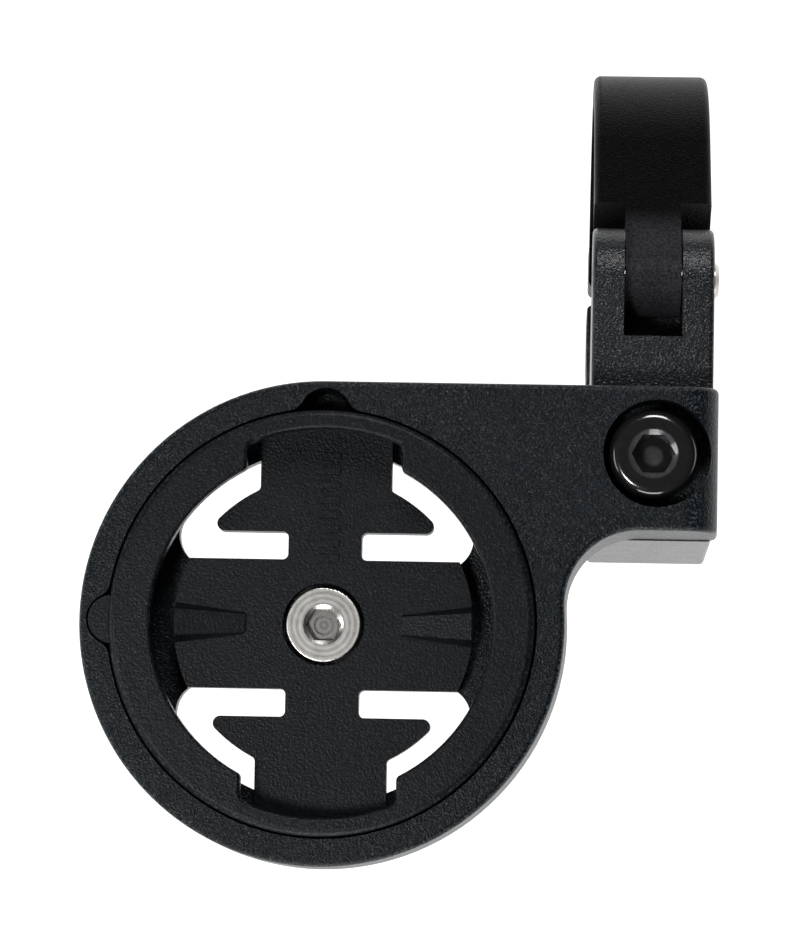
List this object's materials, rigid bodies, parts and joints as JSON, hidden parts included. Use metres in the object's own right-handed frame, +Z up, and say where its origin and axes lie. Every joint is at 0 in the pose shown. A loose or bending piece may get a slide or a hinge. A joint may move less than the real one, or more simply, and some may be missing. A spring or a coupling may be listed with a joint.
{
  "type": "cycling computer mount",
  "caption": "Side-arm handlebar mount for a cycling computer: ring plate with a quarter-turn socket on a hinged bar clamp that closes with a cross screw.",
  "frame": {"origin": "on the handlebar's axis, half way along the clamp's width", "axes": "+X along the handlebar, away from the computer; +Y towards the rider; +Z up, out of the quarter-turn socket"},
  "size_m": [0.0505, 0.0684, 0.0566],
  "materials": {
    "arm": "black anodised aluminium, fine bead-blasted grain",
    "insert": "black moulded nylon, fine texture",
    "stainless_screw": "turned stainless steel",
    "black_bolt": "black oxide steel, glossy",
    "steel_pin": "ground steel",
    "clamp": "black anodised aluminium, fine grain",
    "band": "black anodised aluminium, smoother",
    "nut": "zinc-plated steel",
    "washer": "black oxide steel"
  },
  "bodies": {
    "mount": {"arm_plate": "arm", "quarter_turn_insert": "insert", "insert_screw": "stainless_screw", "arm_bolt": "black_bolt", "locating_dowels": "steel_pin", "clamp_body": "clamp", "hinge_pin": "steel_pin", "barrel_nut": "nut"},
    "band": {"clamp_band": "band"},
    "closure": {"closure_screw": "black_bolt", "closure_washer": "washer"}
  },
  "joints": [
    {"name": "clamp_hinge", "type": "hinge", "parent": "mount", "child": "band", "pos_m": [0, -0.0018, 0.02045], "axis": [1, 0, 0], "range_deg": [0, 100]},
    {"name": "closure_screw_slide", "type": "slide", "parent": "band", "child": "closure", "axis": [0, 1, 0], "range_m": [0, 0.0096]}
  ],
  "couplings": [
    {"joint": "closure_screw_slide", "follows": "clamp_hinge", "m_per_rad": 0.0055}
  ]
}
